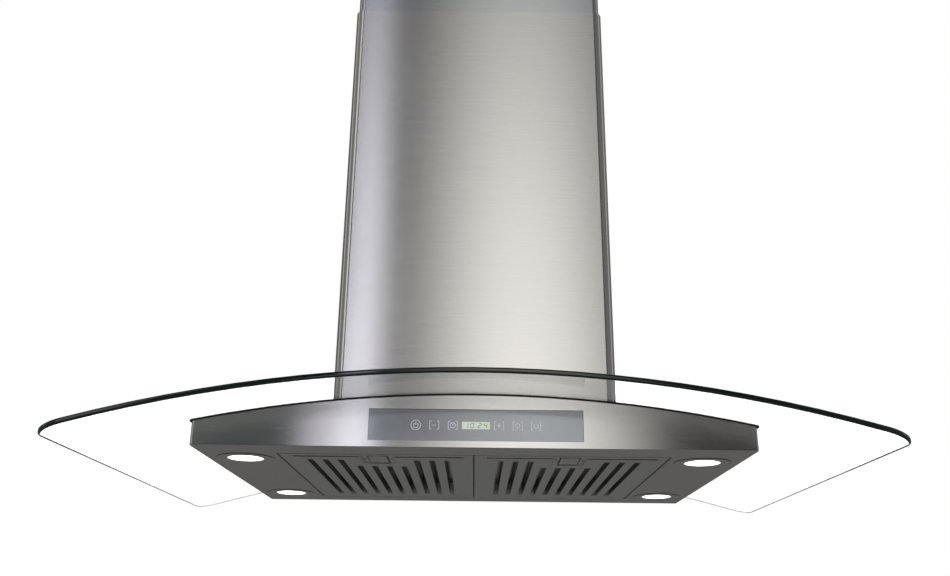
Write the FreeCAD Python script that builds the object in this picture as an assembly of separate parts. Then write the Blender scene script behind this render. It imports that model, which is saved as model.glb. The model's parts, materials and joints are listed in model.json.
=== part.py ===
import FreeCAD, Part
import math
import os

# Island range hood with a bent glass canopy, in millimetres.
# It is drawn with z = 0 at the underside of the steel body, x to the right, y to the back,
# and lowered at export so that the origin is the middle of the ceiling plate's top face.

V = FreeCAD.Vector
CEILING = 950.0             # ceiling above the underside of the steel body
ABOVE = 100.0               # a height that clears the body and the glass, for cutting tools
UP = (0, 0, 1)
ALONG_X = (1, 0, 0)
ALONG_Y = (0, 1, 0)

# --- steel body and glass ---
BODY_X, BODY_Y = 633.0, 460.0
SHEET = 1.2                 # stainless sheet of the body and the chimneys
BODY_CORNER = 3.0
FOLD_R = 1.0                # fold between the body's walls and its floor
ARCH_R = 1563.0             # underside of the bent glass
ARCH_APEX = 61.8
GLASS_X, GLASS_Y, GLASS_T = 907.0, 650.0, 6.0
GLASS_CORNER = 32.0
GLASS_EDGE = 2.2            # rounding of the polished edge
GASKET_T, GASKET_W = 2.0, 18.0
GASKET_PROUD_X, GASKET_PROUD_Y = 2.5, 1.0               # past the body's walls
DECK_X, DECK_Y, DECK_CORNER = 246.0, 212.0, 8.0         # air opening in the body's top deck
CUTOUT_X, CUTOUT_Y, CUTOUT_CORNER = 278.0, 244.0, 6.0   # hole in the saddle and its pad
GLASS_HOLE_CORNER = 12.0                                # the same hole in the glass

# --- underside ---
OPENING_X, OPENING_Y = 456.4, 369.0
FILTER_X, FILTER_Y, FILTER_H = 225.6, 365.0, 22.0
FILTER_CENTRE = 113.6
SLOTS, SLOT_PITCH, SLOT_W = 10, 18.2, 7.2
SLOT_FRONT, SLOT_FRONT_SHORT, SLOT_REAR = -145.0, -100.0, 152.0
FILTER_SHEET, LIP_LOW, LIP_TOP = 1.0, 0.5, 7.0
BAFFLE_T, BAFFLE_HALF, BAFFLE_LOW, BAFFLE_RING_LOW, BAFFLE_LID_W = 0.8, 7.5, 5.0, 9.0, 9.0
LAMP_X, LAMP_Y = 271.0, 150.0
LAMP_TRIM_R, LAMP_HOLE_R, LAMP_LENS_R = 34.0, 31.0, 21.5
BEZEL_T, LENS_RIM_LOW, LENS_RIM_T = 0.7, 2.0, 1.6
BARREL_LOW, BARREL_H = -0.5, 12.5
HEAT_SINK_LOW, HEAT_SINK_H, FINS, FIN_PITCH, FIN_CORE_R = 3.8, 20.0, 4, 2.6, 20.0
LINER_X, LINER_Y, LINER_CORNER, LINER_T = 470.0, 382.0, 4.0, 1.0
WELD_HALF, WELD_REACH = 110.0, 4.0     # spot-welded flange along each side of the liner
DIVIDER_HALF, DIVIDER_T, DIVIDER_UPSTAND = 9.0, 1.2, 14.0

# --- control panel ---
PANEL_X, PANEL_LOW, PANEL_HIGH = 240.0, 8.3, 43.4
PANEL_MIDDLE = 2.0          # the panel sits a little to the right of the body's middle
PANEL_RECESS = 0.8
PANEL_GAP = 0.3             # between the pane and the cut-out in the front wall
PANE_T = 3.0
TRAY_DEPTH, TRAY_FLANGE = 15.0, 6.0
KEY_PLACES = (-67.0, -46.5, -25.8, 25.8, 46.5, 67.0)

# --- chimneys ---
LOWER_X, LOWER_Y, LOWER_CORNER = 350.0, 280.0, 12.0
LOWER_TOP = 641.0
UPPER_X, UPPER_Y, UPPER_CORNER = 344.0, 274.0, 9.0
UPPER_BOTTOM = 450.0
STRAP_W, STRAP_T, STRAP_UP, STRAP_DOWN = 30.0, 1.0, 62.0, 30.0
SPLIT = 0.15                # half the seam between a chimney's front and rear halves
SCREW_R, SCREW_HEAD_R, SCREW_HEAD_H = 1.5, 3.2, 1.2
LOWER_SCREWS = (120.0, 200.0, 280.0)
UPPER_SCREWS = (760.0, 830.0, 900.0)
VENTS, VENT_LOW, VENT_PITCH, VENT_H = 7, 800.0, 11.0, 4.0
VENT_Y, VENT_HALF = 75.0, 30.0

# --- support frames ---
POST_X, POST_Y = 166.0, 131.0          # outer corner of the lower posts
POST_W, POST_T = 25.0, 2.0
NEST_GAP = 0.35
LOWER_POST_TOP = 700.0
UPPER_POST_BOTTOM = 420.0
SLOT_LOW, SLOT_HIGH, BOLT_R = 498.0, 836.0, 3.0
LOCK_BOLT_Z = (640.0, 684.0)
FOOT_BOLT_X, FOOT_BOLT_Y = 152.0, 117.0
HOLE_PLAY = 0.3             # radial play of a bolt in its hole
SPARE_HOLE_PITCH = 44
RAIL_H = 20.0
LOWER_RAILS, LOWER_RAIL_T, UPPER_RAIL_T = (300.0, 600.0), 1.5, 2.0
PLATE_X, PLATE_Y, PLATE_T = 340.0, 270.0, 2.0
PLATE_OPENING_X, PLATE_OPENING_Y = 208.0, 184.0    # for the duct and the supply cable
CEILING_HOLE_X, CEILING_HOLE_Y, CEILING_HOLE_R = 240.0, 220.0, 3.5
SADDLE_X, SADDLE_Y, SADDLE_Z, SADDLE_T = 346.0, 276.0, 72.0, 2.0
SADDLE_FLANGE = 24.0
TAB_HALF, TAB_T, TAB_DROP, TAB_SCREW_DROP = 20.0, 1.5, 24.0, 16.0

# --- blower ---
BOX_X, BOX_Y, BOX_TOP, BOX_T = 270.0, 236.0, 345.0, 1.0
FAN_Y, FAN_Z = -32.0, 185.0
WHEEL_R, WHEEL_INNER, WHEEL_HALF = 58.0, 46.0, 42.0
BLADES, BLADE_T = 32, 1.0
DISC_T, HUB_R, HUB_START, HUB_L = 1.6, 9.0, -10.0, 14.0
RIM_L, RIM_T = 3.0, 4.0
MOTOR_FRONT, MOTOR_LENGTH = 12.0, 76.0
ARMS = (60, 180, 300)       # degrees round the motor
ARM_HALF, ARM_T, BAND_T = 7.0, 2.0, 1.5
SCROLL_HALF, SCROLL_T = 50.0, 1.0
SCROLL_R_END, SCROLL_R_START, SCROLL_SWEEP = 88.0, 64.0, 255.0
MOTOR_R, SHAFT_R, RUNNING = 36.0, 4.0, 0.05
CAPACITOR_R, CAPACITOR_L, CAPACITOR_Z = 15.0, 58.0, 304.0
COLLAR_R, COLLAR_T, COLLAR_H = 75.0, 1.2, 70.0
COLLAR_FLANGE, COLLAR_SCREWS, COLLAR_SCREW_CIRCLE = 13.0, 6, 81.5
LEDGE_REACH = 5.0
FLAP_R, FLAP_T, FLAP_Z = 72.2, 0.8, 385.0
ROD_R = 2.0
KNUCKLE, KNUCKLE_GAP, KNUCKLE_R = 28.0, 4.0, 3.4
KNUCKLE_REACH = 2 * KNUCKLE + 1.5 * KNUCKLE_GAP     # far end of the outermost knuckle

# --- electrics ---
JUNCTION_X, JUNCTION_Y = (74.0, 112.0), (-112.0, -62.0)
JUNCTION_T = 1.0
LID = BOX_TOP + 40.0
WIRE_HOLE, WIRE_HOLE_R = (95.0, -98.0), 8.0
GLAND, GLAND_THREAD_R, GLAND_FLANGE_R = (86.0, -74.0), 7.9, 11.0
CABLE_BORE_R = 4.5
POWER_HALF, POWER_TOP, POWER_RIBS = 95.0, 34.0, 16


def box(x0, x1, y0, y1, z0, z1):
    return Part.makeBox(x1 - x0, y1 - y0, z1 - z0, V(x0, y0, z0))


def cyl(radius, base, axis, length):
    return Part.makeCylinder(radius, length, V(*base), V(*axis))


def fuse(shapes):
    result = shapes[0]
    if len(shapes) > 1:
        result = result.multiFuse(shapes[1:])
    return result.removeSplitter()


def cut(shape, tools):
    return shape.cut(tools) if tools else shape


def mirrored(shape, x_axis):
    """The shape's mirror image in the plane x = 0, or y = 0."""
    return shape.mirror(V(0, 0, 0), V(1, 0, 0) if x_axis else V(0, 1, 0))


def four(shape):
    """The shape at +x +y, and its three mirror images."""
    right_front = mirrored(shape, False)
    return [shape, mirrored(shape, True), right_front, mirrored(right_front, True)]


def rounded_wire(size_x, size_y, radius, z):
    """A rectangle about the origin with round corners, as a closed wire."""
    hx, hy = size_x / 2, size_y / 2
    k = radius * (1 - math.sqrt(0.5))
    edges = []
    corners = [(hx, hy, 1, 1), (-hx, hy, -1, 1), (-hx, -hy, -1, -1), (hx, -hy, 1, -1)]
    points = []
    for x, y, sx, sy in corners:
        on_side = V(x, y - sy * radius, z)
        on_end = V(x - sx * radius, y, z)
        middle = V(x - sx * k, y - sy * k, z)
        points.append((on_side, middle, on_end) if sx * sy > 0 else (on_end, middle, on_side))
    for i, (first, middle, last) in enumerate(points):
        edges.append(Part.Arc(first, middle, last).toShape())
        following = points[(i + 1) % 4][0]
        edges.append(Part.LineSegment(last, following).toShape())
    return Part.Wire(edges)


def prism(size_x, size_y, radius, z0, z1):
    if radius <= 0:
        return box(-size_x / 2, size_x / 2, -size_y / 2, size_y / 2, z0, z1)
    face = Part.Face(rounded_wire(size_x, size_y, radius, z0))
    return face.extrude(V(0, 0, z1 - z0))


def tube(size_x, size_y, radius, wall, z0, z1):
    inner_radius = max(radius - wall, 0)
    inner = prism(size_x - 2 * wall, size_y - 2 * wall, inner_radius, z0 - 1, z1 + 1)
    return prism(size_x, size_y, radius, z0, z1).cut(inner)


def arch(offset):
    """All that lies below the glass's underside, raised by offset."""
    half = GLASS_Y
    return cyl(ARCH_R + offset, (0, -half, ARCH_APEX - ARCH_R), ALONG_Y, 2 * half)


def arch_height(x, offset=0.0):
    return ARCH_APEX - ARCH_R + math.sqrt((ARCH_R + offset) ** 2 - x * x)


def moved(shape, x=0.0, y=0.0, z=0.0):
    copy = shape.copy()
    copy.translate(V(x, y, z))
    return copy


def bolt(position, axis, shank, grip, head_r=5.0, head_h=3.2, nut=True):
    """A bolt whose head's seat is at position; axis points from the head into the joint."""
    px, py, pz = position
    ax, ay, az = axis
    head = cyl(head_r, (px - ax * head_h, py - ay * head_h, pz - az * head_h), axis, head_h)
    stem = cyl(shank, position, axis, grip + (5.5 if nut else 0))
    pieces = [head, stem]
    if nut:
        start = (px + ax * grip, py + ay * grip, pz + az * grip)
        pieces.append(cyl(head_r, start, axis, 4.0))
    return fuse(pieces)


# ---------------------------------------------------------------- steel body

def body_shell():
    outer = prism(BODY_X, BODY_Y, BODY_CORNER, 0, ABOVE).common(arch(-GASKET_T))
    inner = prism(BODY_X - 2 * SHEET, BODY_Y - 2 * SHEET, BODY_CORNER - SHEET, SHEET, ABOVE)
    inner = inner.common(arch(-GASKET_T - SHEET))
    shell = outer.cut(inner)
    low_edges = [e for e in shell.Edges if abs(e.BoundBox.ZMax) < 1e-6]
    shell = shell.makeFillet(FOLD_R, low_edges)
    tools = [prism(OPENING_X, OPENING_Y, 2.0, -1, SHEET + 1)]
    tools.append(prism(DECK_X, DECK_Y, DECK_CORNER, ABOVE / 3, ABOVE))
    tools += four(cyl(LAMP_HOLE_R, (LAMP_X, LAMP_Y, -1), UP, 4))
    half = PANEL_X / 2 + PANEL_GAP
    tools.append(box(PANEL_MIDDLE - half, PANEL_MIDDLE + half, -BODY_Y / 2 - 1, -BODY_Y / 2 + 3,
                     PANEL_LOW - PANEL_GAP, PANEL_HIGH + PANEL_GAP))
    tools += four(cyl(BOLT_R + HOLE_PLAY, (FOOT_BOLT_X, FOOT_BOLT_Y, ABOVE / 3), UP, ABOVE))
    return cut(shell, tools)


def glass_gasket():
    ring = arch(0).cut(arch(-GASKET_T))
    outline = prism(BODY_X + 2 * GASKET_PROUD_X, BODY_Y + 2 * GASKET_PROUD_Y, BODY_CORNER, 0, ABOVE)
    hole = prism(BODY_X - 2 * GASKET_W, BODY_Y - 2 * GASKET_W, BODY_CORNER, -1, ABOVE + 1)
    return ring.common(outline.cut(hole))


def glass_canopy():
    pane = arch(GLASS_T).cut(arch(0))
    pane = pane.common(prism(GLASS_X, GLASS_Y, GLASS_CORNER, -ABOVE, ABOVE))
    main_faces = [face for face in pane.Faces if face.Area > GLASS_X * GLASS_Y / 2]
    outer_edges = [edge for face in main_faces for edge in face.OuterWire.Edges]
    pane = pane.makeFillet(GLASS_EDGE, outer_edges)
    tools = [prism(CUTOUT_X, CUTOUT_Y, GLASS_HOLE_CORNER, 0, ABOVE)]
    tools += four(cyl(BOLT_R + 2.0, (FOOT_BOLT_X, FOOT_BOLT_Y, 0), UP, ABOVE))
    return cut(pane, tools)


def plenum_liner():
    """Upright walls between the filter opening and the deck, up to the arch."""
    walls = tube(LINER_X, LINER_Y, LINER_CORNER, LINER_T, SHEET, ABOVE)
    walls = walls.common(arch(-GASKET_T - SHEET))
    # rolled flange that is spot welded to the floor of the body
    flange = box(LINER_X / 2 - LINER_T / 2, LINER_X / 2 + WELD_REACH, -WELD_HALF, WELD_HALF,
                 SHEET, SHEET + LINER_T)
    return fuse([walls, flange, mirrored(flange, True)])


def filter_divider():
    """Bar over the gap between the two filters, ending at the liner's front and rear walls."""
    end = LINER_Y / 2 - LINER_T
    low = FILTER_H + 2.0
    web = box(-DIVIDER_HALF, DIVIDER_HALF, -end, end, low, low + DIVIDER_T)
    flange = box(-DIVIDER_HALF, DIVIDER_HALF, -end, -end + DIVIDER_T, low, low + DIVIDER_UPSTAND)
    return fuse([web, flange, mirrored(flange, False)])


# ---------------------------------------------------------------- lamps

def lamp_trim(x, y):
    """Flat bezel with a short barrel through the body's floor."""
    bezel = cyl(LAMP_TRIM_R, (x, y, -BEZEL_T), UP, BEZEL_T)
    rim = [e for e in bezel.Edges if abs(e.BoundBox.ZMax + BEZEL_T) < 1e-6]
    bezel = bezel.makeFillet(0.75 * BEZEL_T, rim)
    barrel = cyl(LAMP_HOLE_R - 0.4, (x, y, BARREL_LOW), UP, BARREL_H)
    bore = cyl(LAMP_LENS_R + 0.2, (x, y, -5), UP, 30)
    pocket = cyl(LAMP_HOLE_R - 1.6, (x, y, LENS_RIM_LOW), UP, 30)
    return cut(fuse([bezel, barrel]), [bore, pocket])


def lamp_lens(x, y):
    """Opal lens with a stepped rim that rests on the bezel from behind."""
    front = cyl(LAMP_LENS_R, (x, y, -BEZEL_T / 2), UP, LENS_RIM_LOW + LENS_RIM_T / 2)
    rim = cyl(LAMP_LENS_R + 5.0, (x, y, LENS_RIM_LOW), UP, LENS_RIM_T)
    return fuse([front, rim])


def lamp_housings():
    """Finned heat sinks with the LED boards, one behind each lens."""
    cans = []
    for x in (-LAMP_X, LAMP_X):
        for y in (-LAMP_Y, LAMP_Y):
            can = cyl(LAMP_HOLE_R - 2.0, (x, y, HEAT_SINK_LOW), UP, HEAT_SINK_H)
            core = cyl(FIN_CORE_R, (x, y, 0), UP, 2 * HEAT_SINK_H)
            grooves = []
            for i in range(FINS):
                low = HEAT_SINK_LOW + HEAT_SINK_H - (FINS - i) * FIN_PITCH
                grooves.append(cyl(LAMP_HOLE_R, (x, y, low), UP, FIN_PITCH / 2).cut(core))
            cans.append(cut(can, grooves))
    return Part.makeCompound(cans)


# ---------------------------------------------------------------- control panel

FRONT_IN = -BODY_Y / 2 + SHEET          # inside of the body's front wall
GLASS_FRONT = -BODY_Y / 2 + PANEL_RECESS


def control_glass():
    return box(-PANEL_X / 2, PANEL_X / 2, GLASS_FRONT, GLASS_FRONT + PANE_T, PANEL_LOW, PANEL_HIGH)


def control_tray():
    """Plastic tray glued behind the cut-out; it holds the pane and the board."""
    half = PANEL_X / 2
    back = GLASS_FRONT + TRAY_DEPTH
    tray = box(-half - TRAY_FLANGE, half + TRAY_FLANGE, FRONT_IN, back,
               PANEL_LOW - 4.0, PANEL_HIGH + 4.0)
    play = 0.2
    pane_pocket = box(-half - play, half + play, FRONT_IN - 1, GLASS_FRONT + PANE_T,
                      PANEL_LOW - play, PANEL_HIGH + play)
    cavity = box(-half + 4, half - 4, FRONT_IN - 1, back - 1.5, PANEL_LOW + 2, PANEL_HIGH - 2)
    outlet = box(60, 80, back - 3, back + 1, PANEL_LOW + 6, PANEL_LOW + 14)
    return cut(tray, [pane_pocket, cavity, outlet])


def touch_board():
    """Circuit board with a controller chip, a plug socket and one spring pad per key."""
    front = GLASS_FRONT + 8.0
    back = front + 1.6
    middle = (PANEL_LOW + PANEL_HIGH) / 2
    board = box(-112, 112, front, back, PANEL_LOW + 3, PANEL_HIGH - 3)
    chip = box(-30, -18, back, back + 1.8, middle - 6, middle + 6)
    socket = box(62, 78, back, back + 3.0, middle - 6, middle + 2)
    pad_h = 4.8
    pads = [cyl(3.5, (x, front - pad_h, middle), ALONG_Y, pad_h) for x in KEY_PLACES]
    return fuse([board, chip, socket] + pads)


def display_module():
    front = GLASS_FRONT + PANE_T + 0.2
    return box(-17, 17, front, front + 4.8, 20.0, 31.0)


# ---------------------------------------------------------------- filters

def slot_centres():
    first = -(SLOTS - 1) / 2 * SLOT_PITCH
    return [first + i * SLOT_PITCH for i in range(SLOTS)]


def slot_start(index):
    """The four middle slots are shorter, to leave room for the latch."""
    short = SLOTS // 2 - 2 <= index < SLOTS // 2 + 2
    return SLOT_FRONT_SHORT if short else SLOT_FRONT


CUP_X, CUP_FRONT, CUP_REAR, CUP_DEPTH = 38.0, -175.0, -118.0, 11.0
CUP_T, SHOULDER_Z, POCKET_X = 0.8, 1.4, 25.0
FRONT_SLOT_Y, FRONT_SLOT_W = -167.0, 7.2
FRONT_SLOTS = ((-98.0, -20.5), (20.5, 102.0))
HOOK_X, HOOK_HALF, HOOK_REACH = 70.0, 12.0, 7.0
LATCH_X, LATCH_FRONT, LATCH_REAR = 22.0, -166.0, -126.0
LATCH_LOW, LATCH_HIGH = 0.8, 3.4
TONGUE_X, TONGUE_LOW, TONGUE_HIGH, TONGUE_TIP = 16.0, 2.0, 4.0, -188.5
LATCH_STOP_REAR = -150.0


def filter_tray():
    """Folded tray with long slots, each with turned-up lips, and two rear hook tabs."""
    hx, hy = FILTER_X / 2, FILTER_Y / 2
    t = FILTER_SHEET
    outer = prism(FILTER_X, FILTER_Y, 2.0, 0, FILTER_H)
    inner = prism(FILTER_X - 2 * t, FILTER_Y - 2 * t, 1.0, t, FILTER_H + 1)
    shell = outer.cut(inner)
    adds, cuts = [], []
    for i, x in enumerate(slot_centres()):
        start = slot_start(i)
        cuts.append(box(x - SLOT_W / 2, x + SLOT_W / 2, start, SLOT_REAR, -1, LIP_TOP + 2))
        adds.append(box(x - SLOT_W / 2 - t, x + SLOT_W / 2 + t, start - t, SLOT_REAR + t,
                        LIP_LOW, LIP_TOP))
    cuts.append(box(-CUP_X / 2 - 0.3, CUP_X / 2 + 0.3, CUP_FRONT - 0.3, CUP_REAR + 0.3,
                    -1, LIP_TOP + 2))
    for low, high in FRONT_SLOTS:
        cuts.append(box(low, high, FRONT_SLOT_Y - FRONT_SLOT_W / 2, FRONT_SLOT_Y + FRONT_SLOT_W / 2,
                        -1, t + 0.5))
    cuts.append(box(-TONGUE_X / 2 - 1, TONGUE_X / 2 + 1, -hy - 1, -hy + 2,
                    TONGUE_LOW - 0.4, TONGUE_HIGH + 0.4))
    for x in (-HOOK_X, HOOK_X):
        adds.append(box(x - HOOK_HALF, x + HOOK_HALF, hy - t, hy + HOOK_REACH,
                        SHEET + 0.5, SHEET + 1.7))
    return cut(fuse([shell] + adds), cuts)


def filter_baffles():
    """Upper channels over the slots, welded to a ring that closes the top of the tray."""
    t = BAFFLE_T
    top = FILTER_H - 0.6
    ring_x, ring_y = FILTER_X - 2 * FILTER_SHEET - 0.3, FILTER_Y - 2 * FILTER_SHEET - 0.3
    ring = tube(ring_x, ring_y, 1.0, t, BAFFLE_RING_LOW, top)
    lid = tube(ring_x, ring_y, 1.0, BAFFLE_LID_W, top - t, top)
    pieces = [ring, lid]
    half = BAFFLE_HALF
    for x in slot_centres():
        y0, y1 = SLOT_FRONT_SHORT - 2, ring_y / 2 - 0.4
        if abs(x) > 2 * SLOT_PITCH:
            y0 = -ring_y / 2 + 0.4
        web = box(x - half, x + half, y0, y1, top - t, top)
        left = box(x - half, x - half + t, y0, SLOT_REAR + 3, BAFFLE_LOW, top)
        right = box(x + half - t, x + half, y0, SLOT_REAR + 3, BAFFLE_LOW, top)
        pieces += [web, left, right]
    bridge = box(-2.5 * SLOT_PITCH, 2.5 * SLOT_PITCH, SLOT_FRONT_SHORT - 10,
                 SLOT_FRONT_SHORT + 2, top - t, top)
    return fuse(pieces + [bridge])


def latch_cup():
    """Pressed recess with a deeper pocket for the latch, and two rivets in its shoulders."""
    t = CUP_T
    shoulder = box(-CUP_X / 2, CUP_X / 2, CUP_FRONT, CUP_REAR, 0, SHOULDER_Z + t)
    pocket = box(-POCKET_X / 2 - t, POCKET_X / 2 + t, CUP_FRONT, CUP_REAR, 0, CUP_DEPTH)
    recess = box(-CUP_X / 2 + t, CUP_X / 2 - t, CUP_FRONT + t, CUP_REAR - t, -1, SHOULDER_Z)
    inside = box(-POCKET_X / 2, POCKET_X / 2, CUP_FRONT + t, CUP_REAR - t, -1, CUP_DEPTH - t)
    tongue_gap = box(-TONGUE_X / 2 - 1, TONGUE_X / 2 + 1, CUP_FRONT - 1, CUP_FRONT + 2,
                     TONGUE_LOW - 0.4, TONGUE_HIGH + 0.4)
    middle = (CUP_FRONT + CUP_REAR) / 2
    rivets = [cyl(1.6, (x, middle, SHOULDER_Z - 0.9), UP, 1.2) for x in (-15.6, 15.6)]
    return fuse([cut(fuse([shoulder, pocket]), [recess, inside, tongue_gap])] + rivets)


def latch():
    """Finger slide with its tongue over the body's front lip and a stop for the spring."""
    half = LATCH_X / 2
    pad = box(-half, half, LATCH_FRONT, LATCH_REAR, LATCH_LOW, LATCH_HIGH)
    finger = box(-half, half, LATCH_REAR - 1.6, LATCH_REAR, 0.2, LATCH_LOW + 0.2)
    tongue = box(-TONGUE_X / 2, TONGUE_X / 2, TONGUE_TIP, LATCH_FRONT + 1, TONGUE_LOW, TONGUE_HIGH)
    stop = box(-5, 5, LATCH_STOP_REAR - 2.0, LATCH_STOP_REAR, LATCH_HIGH - 0.2, CUP_DEPTH - 1.4)
    return fuse([pad, finger, tongue, stop])


def latch_spring():
    """Compression coil between the latch's stop and the pocket's rear wall."""
    wire_r, coil_r = 0.4, 2.1
    start = LATCH_STOP_REAR + 0.1
    length = CUP_REAR - CUP_T - 0.1 - start
    helix = Part.makeHelix(length / 7.0, length - 2 * wire_r, coil_r)
    circle = Part.Wire(Part.makeCircle(wire_r, V(coil_r, 0, 0), V(0, 1, 0)))
    coil = Part.Wire(helix.Edges).makePipeShell([circle], True, True)
    coil.rotate(V(0, 0, 0), V(1, 0, 0), -90)
    return moved(coil, 0, start + wire_r, 6.6)


# ---------------------------------------------------------------- saddle and frames

def saddle_pad():
    """Rubber ring that fills the wedge between the arched glass and the flat saddle."""
    ring = prism(SADDLE_X - 6, SADDLE_Y - 6, 6.0, 40, SADDLE_Z)
    ring = ring.cut([prism(CUTOUT_X, CUTOUT_Y, CUTOUT_CORNER, 30, SADDLE_Z + 1), arch(GLASS_T)])
    return cut(ring, four(cyl(BOLT_R + 2.5, (FOOT_BOLT_X, FOOT_BOLT_Y, 0), UP, ABOVE)))


def mounting_saddle():
    """Flat ring with upturned outer flanges; the posts stand on it."""
    low, high = SADDLE_Z, SADDLE_Z + SADDLE_T
    plate = prism(SADDLE_X, SADDLE_Y, 9.0, low, high)
    plate = plate.cut(prism(CUTOUT_X, CUTOUT_Y, CUTOUT_CORNER, low - 1, high + 1))
    rim = tube(SADDLE_X, SADDLE_Y, 9.0, 1.5, low, low + SADDLE_FLANGE)
    corner = box(145, 200, 110, 200, high, low + SADDLE_FLANGE + 1)
    rim = cut(rim, four(corner))
    holes = four(cyl(BOLT_R + HOLE_PLAY, (FOOT_BOLT_X, FOOT_BOLT_Y, 0), UP, ABOVE))
    return cut(fuse([plate, rim]), holes)


def angle_post(corner_x, corner_y, z0, z1):
    """L-section with its outer corner at (corner_x, corner_y)."""
    outer = box(corner_x - POST_W, corner_x, corner_y - POST_W, corner_y, z0, z1)
    hollow = box(corner_x - POST_W - 1, corner_x - POST_T, corner_y - POST_W - 1,
                 corner_y - POST_T, z0 - 1, z1 + 1)
    return outer.cut(hollow)


def foot(corner_x, corner_y, z0):
    plate = box(corner_x - POST_W, corner_x, corner_y - POST_W, corner_y, z0, z0 + POST_T)
    return plate.cut(cyl(BOLT_R + HOLE_PLAY, (FOOT_BOLT_X, FOOT_BOLT_Y, z0 - 1), UP, 4))


def lower_frame_posts():
    base = SADDLE_Z + SADDLE_T
    post = angle_post(POST_X, POST_Y, base, LOWER_POST_TOP)
    post = fuse([post, foot(POST_X, POST_Y, base)])
    holes = [cyl(BOLT_R + 0.05, (POST_X - 5, FOOT_BOLT_Y, z), ALONG_X, 10) for z in LOCK_BOLT_Z]
    # spare height holes down the post
    holes += [cyl(BOLT_R + HOLE_PLAY, (POST_X - 5, FOOT_BOLT_Y, z), ALONG_X, 10)
              for z in range(200, 600, SPARE_HOLE_PITCH)]
    return Part.makeCompound(four(cut(post, holes)))


def lower_frame_rails():
    """Flat bars round the outside of the lower posts."""
    rails = []
    t = LOWER_RAIL_T
    for z in LOWER_RAILS:
        long_rail = box(-POST_X, POST_X, POST_Y, POST_Y + t, z, z + RAIL_H)
        short_rail = box(POST_X, POST_X + t, -POST_Y, POST_Y, z, z + RAIL_H)
        rails += [long_rail, mirrored(long_rail, False), short_rail, mirrored(short_rail, True)]
    return Part.makeCompound(rails)


UPPER_POST_X = POST_X - POST_T - NEST_GAP
UPPER_POST_Y = POST_Y - POST_T - NEST_GAP
PLATE_LOW = CEILING - PLATE_T


def upper_frame_posts():
    post = angle_post(UPPER_POST_X, UPPER_POST_Y, UPPER_POST_BOTTOM, PLATE_LOW)
    post = fuse([post, foot(UPPER_POST_X, UPPER_POST_Y, PLATE_LOW - POST_T)])
    r = BOLT_R + 0.35
    slot = box(UPPER_POST_X - 5, UPPER_POST_X + 5, FOOT_BOLT_Y - r, FOOT_BOLT_Y + r,
               SLOT_LOW + r, SLOT_HIGH - r)
    ends = [cyl(r, (UPPER_POST_X - 5, FOOT_BOLT_Y, z), ALONG_X, 10)
            for z in (SLOT_LOW + r, SLOT_HIGH - r)]
    return Part.makeCompound(four(cut(post, [slot] + ends)))


def upper_frame_rails():
    """Flat bars round the inside of the upper posts, at their feet."""
    z = UPPER_POST_BOTTOM + 12
    inner_x, inner_y = UPPER_POST_X - POST_T, UPPER_POST_Y - POST_T
    t = UPPER_RAIL_T
    long_rail = box(-inner_x, inner_x, inner_y - t, inner_y, z, z + RAIL_H)
    short_rail = box(inner_x - t, inner_x, -inner_y + t, inner_y - t, z, z + RAIL_H)
    return Part.makeCompound([long_rail, mirrored(long_rail, False),
                              short_rail, mirrored(short_rail, True)])


def frame_lock_bolts():
    """Bolts that clamp the lower posts to the slots of the upper posts."""
    bolts = []
    for z in LOCK_BOLT_Z:
        grip = 2 * POST_T + NEST_GAP + 0.2
        one = bolt((POST_X, FOOT_BOLT_Y, z), (-1, 0, 0), BOLT_R, grip, 5.5, 2.8)
        bolts += four(one)
    return Part.makeCompound(bolts)


def saddle_bolts():
    """Bolts from the posts' feet through the glass to the deck, with their nuts."""
    seat = SADDLE_Z + SADDLE_T + POST_T
    deck = arch_height(FOOT_BOLT_X + 6, -GASKET_T - SHEET) - 0.4
    one = bolt((FOOT_BOLT_X, FOOT_BOLT_Y, seat), (0, 0, -1), BOLT_R, seat - deck)
    return Part.makeCompound(four(one))


def ceiling_plate():
    """Drilled plate with an opening for the duct, and tabs for the upper chimney's screws."""
    plate = prism(PLATE_X, PLATE_Y, 6.0, PLATE_LOW, CEILING)
    low, screw_z = CEILING - TAB_DROP, CEILING - TAB_SCREW_DROP
    tab = box(PLATE_X / 2 - TAB_T, PLATE_X / 2, -TAB_HALF, TAB_HALF, low, PLATE_LOW + 1)
    tab = cut(tab, [cyl(SCREW_R + 0.1, (PLATE_X / 2 - 20, 0, screw_z), ALONG_X, 40)])
    end_tab = box(-TAB_HALF, TAB_HALF, PLATE_Y / 2 - TAB_T, PLATE_Y / 2, low, PLATE_LOW + 1)
    end_tab = cut(end_tab, [cyl(SCREW_R + 0.1, (0, PLATE_Y / 2 - 20, screw_z), ALONG_Y, 40)])
    body = fuse([plate, tab, mirrored(tab, True), end_tab, mirrored(end_tab, False)])
    tools = [prism(PLATE_OPENING_X, PLATE_OPENING_Y, 10.0, PLATE_LOW - 1, CEILING + 1)]
    tools += four(cyl(CEILING_HOLE_R, (CEILING_HOLE_X / 2, CEILING_HOLE_Y / 2, PLATE_LOW - 1),
                      UP, 5))
    tools += four(cyl(BOLT_R + HOLE_PLAY, (FOOT_BOLT_X, FOOT_BOLT_Y, PLATE_LOW - 1), UP, 5))
    return cut(body, tools)


def upper_frame_bolts():
    """Countersunk screws down through the ceiling plate, with nuts under the posts' feet."""
    grip = PLATE_T + POST_T
    shank = cyl(BOLT_R, (FOOT_BOLT_X, FOOT_BOLT_Y, CEILING - grip - 5), UP, grip + 5)
    nut = cyl(5.0, (FOOT_BOLT_X, FOOT_BOLT_Y, CEILING - grip - 4), UP, 4)
    return Part.makeCompound(four(fuse([shank, nut])))


# ---------------------------------------------------------------- chimneys

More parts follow.
